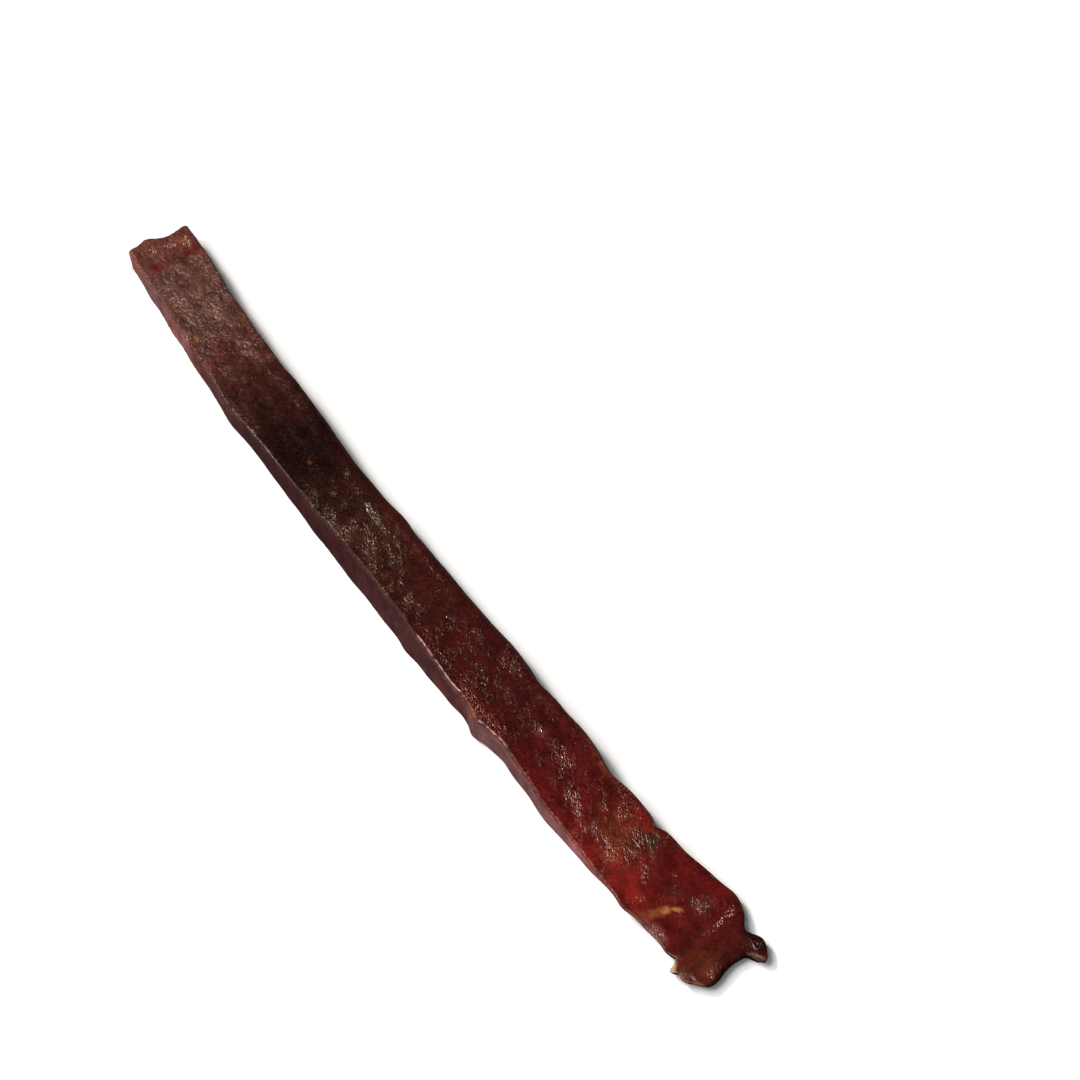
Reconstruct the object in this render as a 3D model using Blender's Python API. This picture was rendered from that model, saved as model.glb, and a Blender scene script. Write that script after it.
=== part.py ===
"""A strip of duck jerky: one long, flat piece of dried meat, sliced across at one end and torn at the other.

X runs along the strip from the sliced end to the torn end, Y runs across it and Z is up.
The origin is in the middle of the strip's footprint, on the surface that it lies on.
The near side is the one towards -Y, and the far side the one towards +Y.
"""

import math
from collections import namedtuple

import bmesh
import bpy
from mathutils import Vector, noise

# Sizes below are in millimetres, and the finished mesh is in metres
MM = 0.001

# The strip from end to end, without the points of its ends
LENGTH = 158.2

# How the strip changes along its length, counted from the sliced end
# middle: how far the middle line swings sideways
# lean: how far the foot of the near side stands in from its crest
# lift: how high the underside is off the surface, or less than 0 where the strip lies pressed flat on it
# far_round: the radius of the top edge on the far side
Station = namedtuple("Station", "along middle width thick lean lift far_round")
STATIONS = (
    Station(along=0, middle=0.3, width=11.0, thick=3.8, lean=0.2, lift=-0.2, far_round=0.5),
    Station(along=12, middle=-0.55, width=11.0, thick=3.9, lean=0.1, lift=-0.1, far_round=0.6),
    Station(along=30, middle=-2.0, width=10.6, thick=4.0, lean=0.1, lift=0.4, far_round=0.7),
    Station(along=46, middle=-2.5, width=11.0, thick=4.1, lean=0.2, lift=0.6, far_round=0.9),
    Station(along=62, middle=-2.6, width=10.1, thick=4.3, lean=-0.4, lift=0.2, far_round=1.2),
    Station(along=78, middle=-2.0, width=9.8, thick=4.5, lean=-1.0, lift=-0.25, far_round=1.5),
    Station(along=92, middle=-1.7, width=10.1, thick=4.5, lean=-0.9, lift=-0.25, far_round=1.6),
    Station(along=106, middle=-1.9, width=10.8, thick=4.2, lean=-0.3, lift=0.2, far_round=1.4),
    Station(along=122, middle=-1.7, width=10.5, thick=3.9, lean=0.1, lift=0.4, far_round=1.1),
    Station(along=136, middle=-1.5, width=11.0, thick=3.4, lean=0.6, lift=0.1, far_round=0.9),
    Station(along=142, middle=-1.0, width=11.75, thick=3.05, lean=1.45, lift=-0.05, far_round=0.8),
    Station(along=148, middle=-0.1, width=12.0, thick=2.5, lean=1.4, lift=-0.15, far_round=0.7),
    Station(along=158, middle=0.3, width=11.9, thick=1.7, lean=1.0, lift=-0.15, far_round=0.5),
)

# Places where a long edge stands out or is nicked: where, how far out, and how long
NEAR, FAR = -1, 1
Feature = namedtuple("Feature", "along side out spread")
EDGE_FEATURES = (
    Feature(along=17, side=FAR, out=-0.3, spread=5.0),
    Feature(along=75, side=FAR, out=0.3, spread=3.0),
    Feature(along=103.5, side=FAR, out=0.3, spread=3.0),
    Feature(along=111, side=FAR, out=-0.35, spread=2.5),
    Feature(along=120, side=FAR, out=0.25, spread=2.5),
    Feature(along=128, side=FAR, out=-0.45, spread=2.5),
    Feature(along=137.6, side=FAR, out=-0.5, spread=1.0),
    Feature(along=142.5, side=FAR, out=-0.35, spread=2.5),
    Feature(along=150.5, side=FAR, out=0.6, spread=1.8),
    Feature(along=155.0, side=FAR, out=-1.4, spread=1.4),
    Feature(along=158.0, side=FAR, out=-0.35, spread=0.9),
    Feature(along=41, side=NEAR, out=0.5, spread=6.0),
    Feature(along=93.5, side=NEAR, out=0.3, spread=2.0),
    Feature(along=107.5, side=NEAR, out=-0.2, spread=1.5),
    Feature(along=111.5, side=NEAR, out=0.5, spread=1.3),
    Feature(along=117, side=NEAR, out=-0.35, spread=2.5),
    Feature(along=128, side=NEAR, out=0.3, spread=3.0),
    Feature(along=145.0, side=NEAR, out=0.35, spread=1.3),
    Feature(along=151.5, side=NEAR, out=-0.3, spread=1.8),
    Feature(along=154.6, side=NEAR, out=-0.7, spread=1.0),
    Feature(along=155.6, side=NEAR, out=1.2, spread=0.6),
    Feature(along=157.4, side=NEAR, out=0.45, spread=0.8),
)

# Points of the two ends: where across the strip from -1 to 1, how far out, and how wide
Point = namedtuple("Point", "across out spread")
SLICED_POINTS = (
    Point(across=-0.35, out=1.1, spread=0.35),
    Point(across=0.25, out=0.1, spread=0.20),
    Point(across=0.95, out=1.2, spread=0.43),
)
TORN_POINTS = (
    Point(across=-0.62, out=1.25, spread=0.36),
    Point(across=-1.0, out=-0.9, spread=0.20),
    Point(across=0.74, out=1.95, spread=0.18),
    Point(across=1.0, out=0.1, spread=0.18),
)
SLICED_REACH = 6.0
TORN_REACH = 9.0

# The torn end slopes back under its thin top edge: how far, and over what length
TORN_UNDERCUT = 1.1
UNDERCUT_REACH = 3.0

# Radii of the near top edge, of both lower edges and of both ends
CREST_ROUND = 0.45
FOOT_ROUND = 0.6
END_ROUND = 0.5

# Wobble of the long edges: its size and the length of its waves
WOBBLE = 0.14
WOBBLE_LENGTH = 5.0

# Relief of the meat: long ridges that follow the fibres, and lumps across them
RIDGE_DEPTH = 0.22
RIDGE_LENGTH = 17.0
RIDGE_WIDTH = 2.4
LUMP_DEPTH = 0.16
LUMP_SIZE = 4.2
SLICED_SIDE_SHARE = 0.35

# The dried crest stands up as a thin lip along the middle of the strip
LIP_HEIGHT = 0.25
LIP_WIDTH = 0.10
LIP_MIDDLE = 95
LIP_HALF_LENGTH = 42

# How finely the surface is divided, and the share of each side that its rounded edges take
STEPS_ALONG = 104
STEPS_ACROSS = 10
STEPS_UP = 2
STEPS_ROUND = 2
NEAR_ROUND_SHARE = 0.12
FAR_ROUND_SHARE = 0.26
FOOT_ROUND_SHARE = 0.16
TOP_ROUND_SHARE = 0.20

JERKY_COLOUR = (0.060, 0.012, 0.010, 1.0)
JERKY_ROUGHNESS = 0.38


def clear_scene():
    for thing in list(bpy.data.objects):
        bpy.data.objects.remove(thing, do_unlink=True)


def smooth_value(along, field):
    """One column of STATIONS at this distance, on a smooth curve through its rows."""
    rows = [(row.along, getattr(row, field)) for row in STATIONS]
    along = min(max(along, rows[0][0]), rows[-1][0])
    last = len(rows) - 1
    first = next(n for n in range(last) if along <= rows[n + 1][0])

    def slope(n):
        before = rows[max(n - 1, 0)]
        after = rows[min(n + 1, last)]
        return (after[1] - before[1]) / (after[0] - before[0])

    (start, low), (end, high) = rows[first], rows[first + 1]
    span = end - start
    t = (along - start) / span
    return (
        low * (1 + 2 * t) * (1 - t) ** 2
        + high * t * t * (3 - 2 * t)
        + slope(first) * span * t * (1 - t) ** 2
        - slope(first + 1) * span * t * t * (1 - t)
    )


def hump(distance, spread):
    """A smooth hump: 1 at its middle and close to 0 past twice its spread."""
    return math.exp(-((distance / spread) ** 2))


def fade(distance, reach):
    """1 where the distance is 0, falling smoothly to 0 at this reach."""
    t = min(max(1 - distance / reach, 0), 1)
    return t * t * (3 - 2 * t)


def rounded_end(distance):
    """Distance from an end, how far the skin is drawn in there, and how much it faces along the strip."""
    if distance >= END_ROUND:
        return distance, 0.0, 0.0
    angle = distance / END_ROUND * math.pi / 2
    return END_ROUND * (1 - math.cos(angle)), END_ROUND * (1 - math.sin(angle)), math.cos(angle)


def rounded_section(across, up, half_width, thick, far_round):
    """Place and outward direction in the cross-section, for a point of a box from -1 to 1 by 0 to 1."""
    if up < 0.5:
        radius = FOOT_ROUND
    else:
        radius = CREST_ROUND if across < 0 else far_round
    y = across * half_width
    z = up * thick
    inner_y = min(max(y, radius - half_width), half_width - radius)
    inner_z = min(max(z, radius), thick - radius)
    out = Vector((y - inner_y, z - inner_z))
    if out.length > 0:
        out = out.normalized()
    return inner_y + out.x * radius, inner_z + out.y * radius, out


def edge_shift(along, side):
    """How far a long edge stands out at this distance: its own bumps and nicks, and a small wobble."""
    shift = WOBBLE * noise.noise(Vector((along / WOBBLE_LENGTH, side * 7.0, 0.0)))
    for feature in EDGE_FEATURES:
        if feature.side == side:
            shift += feature.out * hump(along - feature.along, feature.spread)
    return shift


def end_shift(across, points):
    return sum(point.out * hump(across - point.across, point.spread) for point in points)


def relief(x, y, z):
    """Height of the meat's surface over its smooth form."""
    ridges = noise.noise(Vector((x / RIDGE_LENGTH, y / RIDGE_WIDTH, z / RIDGE_WIDTH)))
    lumps = noise.noise(Vector((x / LUMP_SIZE, y / LUMP_SIZE + 31.0, z / LUMP_SIZE)))
    return RIDGE_DEPTH * ridges + LUMP_DEPTH * lumps


def lip(x, across, up):
    if up < 1 or across > 0:
        return 0.0
    return LIP_HEIGHT * hump(1 + across, LIP_WIDTH) * fade(abs(x - LIP_MIDDLE), LIP_HALF_LENGTH)


def skin_point(along, across, up):
    """The point of the skin for a point of a plain box: along in millimetres, across -1 to 1 and up 0 to 1."""
    from_sliced, drawn_in_sliced, facing_sliced = rounded_end(along)
    from_torn, drawn_in_torn, facing_torn = rounded_end(LENGTH - along)
    x = from_sliced if along < LENGTH / 2 else LENGTH - from_torn
    drawn_in = drawn_in_sliced + drawn_in_torn
    end_share = facing_torn - facing_sliced
    side_share = math.sqrt(1 - end_share ** 2)

    half_width = smooth_value(x, "width") / 2
    y, z, out = rounded_section(across, up, half_width, smooth_value(x, "thick"), smooth_value(x, "far_round"))
    y -= drawn_in * across
    z += drawn_in * (1 - 2 * up)

    side = NEAR if across < 0 else FAR
    y += side * edge_shift(x, side) * across * across
    if side == NEAR:
        y += smooth_value(x, "lean") * across * across * (1 - up)
    y += smooth_value(x, "middle")

    lift = smooth_value(x, "lift")
    height = relief(x, y, z)
    y += out.x * side_share * height * SLICED_SIDE_SHARE
    z += out.y * side_share * height + lip(x, across, up)
    x += end_share * height

    x -= end_shift(across, SLICED_POINTS) * fade(from_sliced, SLICED_REACH)
    x += end_shift(across, TORN_POINTS) * fade(from_torn, TORN_REACH)
    x -= TORN_UNDERCUT * (1 - up) * fade(from_torn, UNDERCUT_REACH)
    return Vector((x, y, max(z + lift, 0.0))) * MM


def even_steps(start, end, steps):
    return [start + (end - start) * n / steps for n in range(steps + 1)]


def lattice(low, high, low_round, high_round, steps):
    """Even steps from low to high, with a few finer ones inside each rounded edge."""
    first = even_steps(low, low + low_round, STEPS_ROUND)
    middle = even_steps(low + low_round, high - high_round, steps)
    last = even_steps(high - high_round, high, STEPS_ROUND)
    return first + middle[1:-1] + last


def skin_mesh(name):
    """The strip's closed skin: the six sides of a divided box, each point moved to its place."""
    along = lattice(0, LENGTH, END_ROUND, END_ROUND, STEPS_ALONG)
    across = lattice(-1, 1, NEAR_ROUND_SHARE, FAR_ROUND_SHARE, STEPS_ACROSS)
    up = lattice(0, 1, FOOT_ROUND_SHARE, TOP_ROUND_SHARE, STEPS_UP)
    last = (len(along) - 1, len(across) - 1, len(up) - 1)
    mesh = bmesh.new()
    corners = {}

    def corner(place):
        if place not in corners:
            i, j, k = place
            corners[place] = mesh.verts.new(skin_point(along[i], across[j], up[k]))
        return corners[place]

    for axis in range(3):
        one, two = (axis + 1) % 3, (axis + 2) % 3
        for level in (0, last[axis]):
            for a in range(last[one]):
                for b in range(last[two]):
                    ring = []
                    for right, left in ((0, 0), (1, 0), (1, 1), (0, 1)):
                        place = [0, 0, 0]
                        place[axis] = level
                        place[one] = a + right
                        place[two] = b + left
                        ring.append(corner(tuple(place)))
                    mesh.faces.new(ring if level else ring[::-1])

    data = bpy.data.meshes.new(name)
    mesh.to_mesh(data)
    mesh.free()
    return data


def stand_on_origin(data):
    """Move the mesh so that the middle of its footprint is at the origin."""
    low = Vector(min(vertex.co[axis] for vertex in data.vertices) for axis in range(3))
    high = Vector(max(vertex.co[axis] for vertex in data.vertices) for axis in range(3))
    shift = Vector((-(low.x + high.x) / 2, -(low.y + high.y) / 2, -low.z))
    for vertex in data.vertices:
        vertex.co += shift


def jerky_material():
    material = bpy.data.materials.new("dried_duck_meat")
    material.use_nodes = True
    shader = material.node_tree.nodes["Principled BSDF"]
    shader.inputs["Base Color"].default_value = JERKY_COLOUR
    shader.inputs["Roughness"].default_value = JERKY_ROUGHNESS
    shader.inputs["Metallic"].default_value = 0.0
    return material


def build_strip():
    data = skin_mesh("duck_jerky_strip")
    stand_on_origin(data)
    data.materials.append(jerky_material())
    data.shade_smooth()
    strip = bpy.data.objects.new("duck_jerky_strip", data)
    bpy.context.scene.collection.objects.link(strip)


def main():
    clear_scene()
    build_strip()


main()
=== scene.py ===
"""Looks of the duck jerky strip: its fine relief, colours and gloss, on a pale floor in soft light.

The strip's skin is built here from the same named sizes as its plain solid, divided much more finely.
The strip's sizes are in millimetres, and the finished meshes are in metres. X runs along the strip from
the sliced end to the torn end, Y across it and Z up. The near side is the one towards -Y, and the far side
the one towards +Y.
"""

import math
from collections import namedtuple

import bpy
import numpy as np
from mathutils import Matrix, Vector, noise


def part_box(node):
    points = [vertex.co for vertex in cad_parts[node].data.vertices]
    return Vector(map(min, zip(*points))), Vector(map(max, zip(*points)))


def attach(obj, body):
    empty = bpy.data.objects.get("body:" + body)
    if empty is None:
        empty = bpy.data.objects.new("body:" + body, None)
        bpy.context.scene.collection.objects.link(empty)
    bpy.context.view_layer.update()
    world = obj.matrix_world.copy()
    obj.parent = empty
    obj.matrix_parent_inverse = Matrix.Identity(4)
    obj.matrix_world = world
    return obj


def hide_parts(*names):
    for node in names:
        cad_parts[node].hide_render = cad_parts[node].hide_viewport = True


MM = 0.001

# The strip from end to end, without the points of its ends
LENGTH = 158.2

# How the strip changes along its length, counted from the sliced end
# middle: how far the middle line swings sideways
# lean: how far the foot of the near side stands in from its crest
# lift: how high the underside is off the surface, or less than 0 where the strip lies pressed flat on it
# far_round: the radius of the top edge on the far side
Station = namedtuple("Station", "along middle width thick lean lift far_round")
STATIONS = (
    Station(along=0, middle=0.3, width=11.0, thick=3.8, lean=0.2, lift=-0.2, far_round=0.5),
    Station(along=12, middle=-0.55, width=11.0, thick=3.9, lean=0.1, lift=-0.1, far_round=0.6),
    Station(along=30, middle=-2.0, width=10.6, thick=4.0, lean=0.1, lift=0.4, far_round=0.7),
    Station(along=46, middle=-2.5, width=11.0, thick=4.1, lean=0.2, lift=0.6, far_round=0.9),
    Station(along=62, middle=-2.6, width=10.1, thick=4.3, lean=-0.4, lift=0.2, far_round=1.2),
    Station(along=78, middle=-2.0, width=9.8, thick=4.5, lean=-1.0, lift=-0.25, far_round=1.5),
    Station(along=92, middle=-1.7, width=10.1, thick=4.5, lean=-0.9, lift=-0.25, far_round=1.6),
    Station(along=106, middle=-1.9, width=10.8, thick=4.2, lean=-0.3, lift=0.2, far_round=1.4),
    Station(along=122, middle=-1.7, width=10.5, thick=3.9, lean=0.1, lift=0.4, far_round=1.1),
    Station(along=136, middle=-1.5, width=11.0, thick=3.4, lean=0.6, lift=0.1, far_round=0.9),
    Station(along=142, middle=-1.0, width=11.75, thick=3.05, lean=1.45, lift=-0.05, far_round=0.8),
    Station(along=148, middle=-0.1, width=12.0, thick=2.5, lean=1.4, lift=-0.15, far_round=0.7),
    Station(along=158, middle=0.3, width=11.9, thick=1.7, lean=1.0, lift=-0.15, far_round=0.5),
)

# Places where a long edge stands out or is nicked: where, how far out, and how long
NEAR, FAR = -1, 1
Feature = namedtuple("Feature", "along side out spread")
EDGE_FEATURES = (
    Feature(along=17, side=FAR, out=-0.3, spread=5.0),
    Feature(along=75, side=FAR, out=0.3, spread=3.0),
    Feature(along=103.5, side=FAR, out=0.3, spread=3.0),
    Feature(along=111, side=FAR, out=-0.35, spread=2.5),
    Feature(along=120, side=FAR, out=0.25, spread=2.5),
    Feature(along=128, side=FAR, out=-0.45, spread=2.5),
    Feature(along=137.6, side=FAR, out=-0.5, spread=1.0),
    Feature(along=142.5, side=FAR, out=-0.35, spread=2.5),
    Feature(along=150.5, side=FAR, out=0.6, spread=1.8),
    Feature(along=155.0, side=FAR, out=-1.4, spread=1.4),
    Feature(along=158.0, side=FAR, out=-0.35, spread=0.9),
    Feature(along=41, side=NEAR, out=0.5, spread=6.0),
    Feature(along=93.5, side=NEAR, out=0.3, spread=2.0),
    Feature(along=107.5, side=NEAR, out=-0.2, spread=1.5),
    Feature(along=111.5, side=NEAR, out=0.5, spread=1.3),
    Feature(along=117, side=NEAR, out=-0.35, spread=2.5),
    Feature(along=128, side=NEAR, out=0.3, spread=3.0),
    Feature(along=145.0, side=NEAR, out=0.35, spread=1.3),
    Feature(along=151.5, side=NEAR, out=-0.3, spread=1.8),
    Feature(along=154.6, side=NEAR, out=-0.7, spread=1.0),
    Feature(along=155.6, side=NEAR, out=1.2, spread=0.6),
    Feature(along=157.4, side=NEAR, out=0.45, spread=0.8),
)

# Points of the two ends: where across the strip from -1 to 1, how far out, and how wide
Point = namedtuple("Point", "across out spread")
SLICED_POINTS = (
    Point(across=-0.35, out=1.1, spread=0.35),
    Point(across=0.25, out=0.1, spread=0.20),
    Point(across=0.95, out=1.2, spread=0.43),
)
TORN_POINTS = (
    Point(across=-0.62, out=1.25, spread=0.36),
    Point(across=-1.0, out=-0.9, spread=0.20),
    Point(across=0.74, out=1.95, spread=0.18),
    Point(across=1.0, out=0.1, spread=0.18),
)
SLICED_REACH = 6.0
TORN_REACH = 9.0

# The torn end slopes back under its thin top edge: how far, and over what length
TORN_UNDERCUT = 1.1
UNDERCUT_REACH = 3.0

# Radii of the near top edge, of both lower edges and of both ends
CREST_ROUND = 0.45
FOOT_ROUND = 0.6
END_ROUND = 0.5

# Wobble of the long edges: its size and the length of its waves
WOBBLE = 0.14
WOBBLE_LENGTH = 5.0

# Relief of the meat: long ridges that follow the strip, and lumps across them
# SLICED_SIDE_SHARE is how much of both the cut sides have
RIDGE_DEPTH = 0.22
RIDGE_LENGTH = 17.0
RIDGE_WIDTH = 2.4
LUMP_DEPTH = 0.16
LUMP_SIZE = 4.2
SLICED_SIDE_SHARE = 0.35

# Where the noise is read for the edges, the lumps and the wander of colours, so that they don't match
EDGE_NOISE_AT = 7.0
LUMP_NOISE_AT = 31.0
WANDER_NOISE_AT = 5.0

# The dried crest stands up as a thin lip along the middle of the strip
LIP_HEIGHT = 0.25
LIP_WIDTH = 0.10
LIP_MIDDLE = 95
LIP_HALF_LENGTH = 42

# Fine relief that only the finely divided skin can hold
# Wrinkles and grain follow the fibres of the meat, which slant across the broad faces
# WRINKLE_LEVEL is the strength of the noise at which a wrinkle neither rises nor sinks
FIBRE_ANGLE = math.radians(-27)
WRINKLE_DEPTH = 0.08
WRINKLE_LENGTH = 3.0
WRINKLE_WIDTH = 1.5
WRINKLE_LEVEL = 0.35
GRAIN_DEPTH = 0.07
GRAIN_LENGTH = 1.0
GRAIN_WIDTH = 0.5
CRUMB_DEPTH = 0.06
CRUMB_SIZE = 0.36
PEBBLE_DEPTH = 0.22
PEBBLE_SIZE = 1.0

# What is left of the wrinkles on smooth or dull meat, of grain and crumbs between the patches of flecks,
# and of all fine relief on the cut faces
SMOOTH_WRINKLES = 0.3
SPARSE_GRAIN = 0.25
CUT_FACE_SHARE = 0.18

# Patches along the fibres where grain and flecks are thick, with smooth meat between them
# A patch starts at the low height of the noise and is full one span above it, and denser flecks widen it
# Noise that is finer by PATCH_FINER makes its edge ragged
PATCH_LENGTH = 3.0
PATCH_WIDTH = 1.2
PATCH_LOW = 0.12
PATCH_SPAN = 0.45
PATCH_WIDENING = 0.45
PATCH_FINER = 2.3
PATCH_FINER_SHARE = 0.5

# How far colours wander along the strip, in waves of this size
WANDER = 2.5
WANDER_SIZE = 4.0

# Spots and clusters are full over a core and fade out past it, both counted in their half sizes
# Their edges are ragged, and none is looked for past SPOT_REACH half sizes along the strip
# HALF_WIDTH turns places across the strip, from -1 to 1, into millimetres
SPOT_CORE = 0.4
SPOT_FADE = 1.2
SPOT_REACH = 2
RAGGED = 0.6
RAGGED_SIZE = 0.9
HALF_WIDTH = 5.3

# The cut sides, and still more the rounded edges, are duller than the broad faces, with fewer flecks
# Clusters of flecks are wet
SIDE_DULL = 0.9
EDGE_DULL = 4.0
SIDE_FLECKS = 0.2
CLUSTER_WET = 0.7

# How much darker the face of the torn end is
TORN_SHADE = 0.85

# How finely the skin is divided: along the strip, and round its section on each side
# The shares are how much of the height, or of half the width, each rounded edge takes up
STEPS_ALONG = 600
STEPS_TOP = 70
STEPS_UNDER = 28
STEPS_SIDE = 13
STEPS_ROUND = 4
CAP_RINGS = 9
NEAR_ROUND_SHARE = 0.12
FAR_ROUND_SHARE = 0.26
FOOT_ROUND_SHARE = 0.16
TOP_ROUND_SHARE = 0.20

# Colours of the meat, as linear light
# SHEEN_LIT_BROWN is brown meat with a painted sheen, paler and greyer than the meat itself
SHEEN_LIT_BROWN = (0.082, 0.029, 0.022)
TAN_PINK = (0.112, 0.028, 0.020)
DULL_RED = (0.066, 0.015, 0.011)
DEEP_RED = (0.080, 0.0055, 0.0045)
WINE_RED = (0.058, 0.0048, 0.0042)
MAROON = (0.038, 0.0045, 0.0040)
# NEAR_BLACK and SHADED_DARK_BROWN are dark meat, partly darkened by painted shade
NEAR_BLACK = (0.010, 0.0022, 0.0022)
SHADED_DARK_BROWN = (0.019, 0.0042, 0.0032)
RED_BROWN = (0.030, 0.0060, 0.0040)
EARTH_BROWN = (0.031, 0.0090, 0.0056)
# BRIGHT_RED is redder meat with a painted glow of light shining through it where it is thin
BRIGHT_RED = (0.160, 0.011, 0.008)
AMBER = (0.150, 0.034, 0.010)
ORANGE = (0.210, 0.060, 0.016)
OLIVE_BROWN = (0.032, 0.018, 0.011)
FAT = (0.300, 0.125, 0.045)
PALE_FAT = (0.440, 0.290, 0.150)
# PAINTED_GLINT_COLOUR is the colour of the small bright flecks, which are painted glints
PAINTED_GLINT_COLOUR = (0.76, 0.46, 0.32, 1.0)
SHINE_COLOUR = (1.0, 0.82, 0.72, 1.0)

# Colours of the cut near and far sides. Their pale pinks and rose are partly a painted reflection of a pale
# floor, and CUT_DARK is partly painted shade
CUT_PINK = (0.200, 0.060, 0.056)
CUT_ROSE = (0.280, 0.100, 0.100)
CUT_MAUVE = (0.140, 0.052, 0.052)
CUT_PURPLE = (0.046, 0.0120, 0.0125)
CUT_DARK = (0.034, 0.0065, 0.0072)
CUT_RED = (0.075, 0.018, 0.017)

# Stretches of the strip, from the sliced end
# colour and side: the colours of the broad faces and of the cut sides
# grain: how rough the surface is, dull: how little it shines, flecks: how many small bright flecks, painted
# glints, it has
Stretch = namedtuple("Stretch", "along colour side grain dull flecks")
STRETCHES = (
    Stretch(along=0, colour=TAN_PINK, side=CUT_PINK, grain=0.9, dull=0.7, flecks=0.6),
    Stretch(along=12, colour=SHEEN_LIT_BROWN, side=CUT_MAUVE, grain=0.9, dull=0.9, flecks=0.9),
    Stretch(along=22, colour=SHEEN_LIT_BROWN, side=CUT_PINK, grain=0.9, dull=0.9, flecks=0.9),
    Stretch(along=31, colour=DULL_RED, side=CUT_RED, grain=0.9, dull=0.8, flecks=0.8),
    Stretch(along=41, colour=RED_BROWN, side=CUT_RED, grain=0.8, dull=0.5, flecks=0.5),
    # From about 48 to 90 mm the broad faces and the near side are darker, partly by painted shade
    Stretch(along=48, colour=SHADED_DARK_BROWN, side=CUT_DARK, grain=0.5, dull=0.3, flecks=0.4),
    Stretch(along=54, colour=NEAR_BLACK, side=CUT_DARK, grain=0.2, dull=0.2, flecks=0.2),
    Stretch(along=59, colour=NEAR_BLACK, side=CUT_DARK, grain=0.2, dull=0.2, flecks=0.3),
    Stretch(along=66, colour=SHADED_DARK_BROWN, side=CUT_DARK, grain=0.8, dull=0.2, flecks=0.7),
    Stretch(along=74, colour=EARTH_BROWN, side=CUT_DARK, grain=0.9, dull=0.2, flecks=0.9),
    Stretch(along=90, colour=RED_BROWN, side=CUT_PURPLE, grain=0.9, dull=0.2, flecks=0.7),
    Stretch(along=98, colour=MAROON, side=CUT_PURPLE, grain=0.8, dull=0.1, flecks=0.6),
    Stretch(along=106, colour=MAROON, side=CUT_RED, grain=0.8, dull=0.1, flecks=0.7),
    Stretch(along=114, colour=MAROON, side=CUT_MAUVE, grain=0.8, dull=0.1, flecks=0.5),
    Stretch(along=124, colour=WINE_RED, side=CUT_MAUVE, grain=0.7, dull=0.1, flecks=0.6),
    Stretch(along=138, colour=DEEP_RED, side=CUT_ROSE, grain=0.8, dull=0.1, flecks=0.8),
    Stretch(along=148, colour=DEEP_RED, side=CUT_RED, grain=0.5, dull=0.1, flecks=0.5),
    Stretch(along=158, colour=MAROON, side=NEAR_BLACK, grain=0.6, dull=0.1, flecks=0.3),
)

# Spots of the broad faces: where along, where across from -1 to 1, half sizes in millimetres, turn in
# degrees, colour, strength, and how grainy the spot is
Spot = namedtuple("Spot", "along across half_length half_width turn colour strength grain")
SPOTS = (
    Spot(5.6, 0.70, 1.0, 1.6, 10, DEEP_RED, 0.9, 0.4),
    Spot(6.3, -0.50, 1.1, 1.4, -15, DEEP_RED, 0.9, 0.4),
    Spot(6.0, 0.05, 1.2, 1.4, 0, MAROON, 0.6, 0.6),
    Spot(2.0, 0.55, 1.0, 0.8, 0, AMBER, 0.5, 0.8),
    Spot(25.4, -0.72, 0.9, 0.35, -8, FAT, 0.75, 0.3),
    Spot(22.8, -0.66, 0.9, 0.5, -8, MAROON, 0.6, 0.8),
    Spot(29.0, -0.75, 4.0, 1.4, 0, MAROON, 0.35, 0.9),
    Spot(58.7, -0.20, 0.35, 0.30, 0, AMBER, 0.65, 0.3),
    Spot(77.5, 0.95, 17.0, 2.3, 0, MAROON, 0.9, 0.15),
    Spot(65.0, 0.85, 5.0, 2.2, 0, SHADED_DARK_BROWN, 0.8, 0.2),
    Spot(87.0, 0.20, 8.0, 1.8, -20, MAROON, 0.75, 0.3),
    Spot(111.0, -0.80, 5.0, 1.2, 0, DEEP_RED, 0.7, 0.8),
    Spot(110.5, -0.96, 1.3, 0.3, 0, ORANGE, 0.4, 0.7),
    Spot(126.0, -0.85, 6.0, 1.1, 0, DEEP_RED, 0.8, 0.7),
    Spot(126.5, 0.92, 3.0, 0.7, 0, AMBER, 0.55, 0.8),
    Spot(135.5, -0.75, 4.0, 1.4, 0, BRIGHT_RED, 0.4, 0.7),
    Spot(137.0, -0.15, 4.6, 2.4, -25, AMBER, 0.35, 1.0),
    Spot(139.5, 0.48, 2.2, 1.0, -10, OLIVE_BROWN, 0.75, 1.0),
    Spot(142.8, -0.60, 3.4, 1.6, -12, BRIGHT_RED, 0.9, 0.15),
    Spot(135.5, 0.80, 2.6, 1.0, -10, BRIGHT_RED, 0.6, 0.5),
    Spot(143.5, 0.45, 3.0, 1.8, -20, DEEP_RED, 0.8, 0.1),
    Spot(147.1, -0.85, 0.8, 0.5, 0, ORANGE, 0.35, 0.6),
    Spot(147.9, -0.56, 0.7, 0.9, 0, ORANGE, 0.75, 0.5),
    Spot(148.3, -0.38, 0.45, 0.45, 0, FAT, 0.6, 0.5),
    Spot(148.9, -0.17, 0.6, 0.3, 47, FAT, 0.9, 0.5),
    Spot(146.8, 0.05, 0.9, 0.7, 0, OLIVE_BROWN, 0.4, 0.8),
    Spot(149.7, 0.32, 1.4, 1.1, 30, DULL_RED, 0.7, 1.0),
    Spot(149.8, -0.88, 1.8, 0.7, 0, CUT_MAUVE, 0.5, 0.8),
    Spot(155.6, -0.52, 2.2, 1.9, 0, AMBER, 0.35, 0.2),
    Spot(156.2, 0.90, 2.4, 1.4, 0, NEAR_BLACK, 0.7, 0.6),
    Spot(158.0, 0.66, 0.5, 0.5, 0, AMBER, 0.6, 0.4),
    Spot(155.5, -1.00, 0.5, 0.4, 0, PALE_FAT, 0.9, 0.2),
    Spot(157.2, -0.95, 0.9, 0.4, 0, FAT, 0.3, 0.4),
    Spot(158.0, -0.78, 0.4, 0.4, 0, FAT, 0.5, 0.4),
)
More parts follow.
